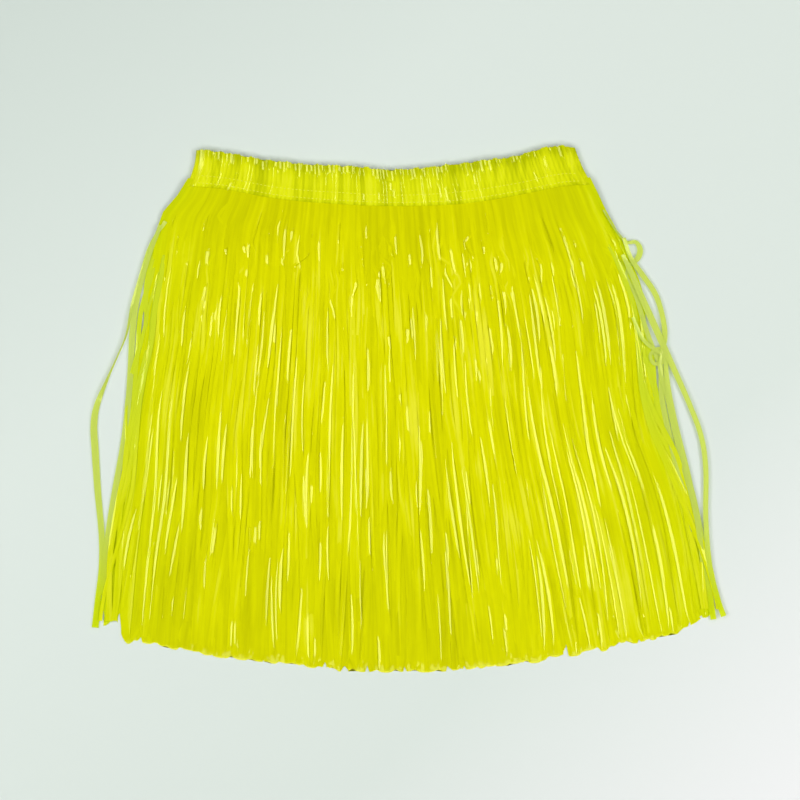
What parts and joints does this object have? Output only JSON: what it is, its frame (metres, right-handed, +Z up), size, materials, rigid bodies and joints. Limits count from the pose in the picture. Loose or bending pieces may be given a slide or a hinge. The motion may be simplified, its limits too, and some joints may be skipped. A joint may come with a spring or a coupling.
{
  "type": "grass skirt",
  "caption": "Child's grass skirt of slit yellow plastic film under a gathered elastic waistband, laid flat with its front up.",
  "frame": {"origin": "under the middle of the whole skirt's box, on the surface that it lies on", "axes": "+X across the skirt, to the right as seen from above with the waist at the top; +Y from the hem to the waist; +Z up, out of the front"},
  "size_m": [0.492, 0.4154, 0.0108],
  "materials": {
    "band_film": "glossy translucent film, gathered over elastic",
    "strand_film": "glossy translucent film, slit into strands and crinkled"
  },
  "bodies": {
    "root": {"waistband": "band_film", "strands_front_outer": "strand_film", "strands_front_inner": "strand_film", "strands_back_inner": "strand_film", "strands_back_outer": "strand_film"}
  },
  "joints": []
}
